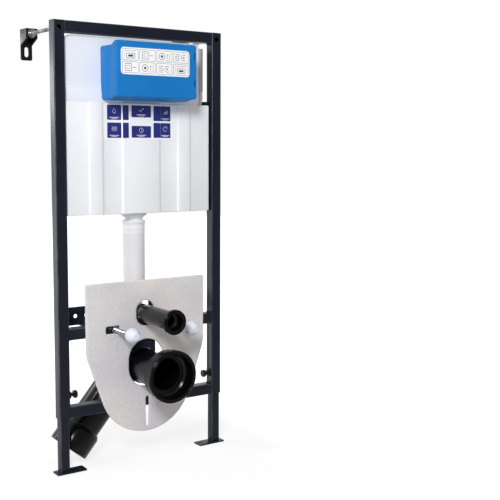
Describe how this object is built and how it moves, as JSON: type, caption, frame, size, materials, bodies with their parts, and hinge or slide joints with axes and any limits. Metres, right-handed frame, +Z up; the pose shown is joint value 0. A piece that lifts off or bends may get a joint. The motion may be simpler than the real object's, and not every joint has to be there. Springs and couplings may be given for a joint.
{
  "type": "wall hung toilet frame",
  "caption": "Free-standing steel frame with sliding feet that holds a concealed cistern, flush pipe, waste elbow and fixing studs for a wall hung toilet bowl",
  "frame": {"origin": "on the back face of the left wall bracket, where it meets the finished wall", "axes": "+X to the right seen from the front, +Y back into the wall, +Z up; the front of the frame faces -Y"},
  "size_m": [0.52, 0.381, 1.17],
  "materials": {
    "black_plastic": "fine matt",
    "black_steel": "black oxide",
    "blue_plastic": "satin moulded",
    "bracket_paint": "satin dark grey powder coat",
    "cap_white": "slightly translucent",
    "frame_paint": "satin navy black powder coat",
    "grey_plastic": "fine matt",
    "jacket_white": "moulded bead foam",
    "pad_foam": "speckled closed cell foam",
    "pipe_black": "smooth, slightly waxy",
    "pipe_white": "smooth extruded",
    "seal_rubber": "matt",
    "tank_white": "blow moulded, slightly bluish",
    "zinc": "bright zinc plate"
  },
  "bodies": {
    "frame": {"bowl_rail": "frame_paint", "cistern_jacket": "jacket_white", "cistern_tank": "tank_white", "flush_connector": "pipe_black", "flush_elbow": "pipe_white", "flush_neck": "pipe_white", "flush_pipe": "pipe_white", "flush_seal": "seal_rubber", "inlet_fitting": "grey_plastic", "left_lock_bolt": "black_steel", "left_post": "frame_paint", "left_post_cap": "black_plastic", "left_rod_nuts": "zinc", "left_stud": "zinc", "left_stud_cap": "cap_white", "left_stud_nuts": "zinc", "left_wall_bracket": "bracket_paint", "left_wall_rod": "zinc", "lower_rail": "frame_paint", "outlet_pipe": "pipe_black", "right_lock_bolt": "black_steel", "right_post": "frame_paint", "right_post_cap": "black_plastic", "right_rod_nuts": "zinc", "right_stud": "zinc", "right_stud_cap": "cap_white", "right_stud_nuts": "zinc", "right_wall_bracket": "bracket_paint", "right_wall_rod": "zinc", "service_box": "blue_plastic", "service_box_cover": "blue_plastic", "sound_pad": "pad_foam", "support_plate": "frame_paint", "tank_clip": "black_plastic", "top_rail": "frame_paint", "waste_clamp": "frame_paint", "waste_connector": "pipe_black", "waste_elbow": "pipe_black", "waste_seal": "seal_rubber", "water_hose": "grey_plastic"},
    "left_leg": {"left_leg": "frame_paint", "left_foot_plate": "frame_paint"},
    "right_leg": {"right_leg": "frame_paint", "right_foot_plate": "frame_paint"}
  },
  "joints": [
    {"name": "left_leg_slide", "type": "slide", "parent": "frame", "child": "left_leg", "axis": [0, 0, -1], "range_m": [-0.12, 0.08]},
    {"name": "right_leg_slide", "type": "slide", "parent": "frame", "child": "right_leg", "axis": [0, 0, -1], "range_m": [-0.12, 0.08]}
  ]
}
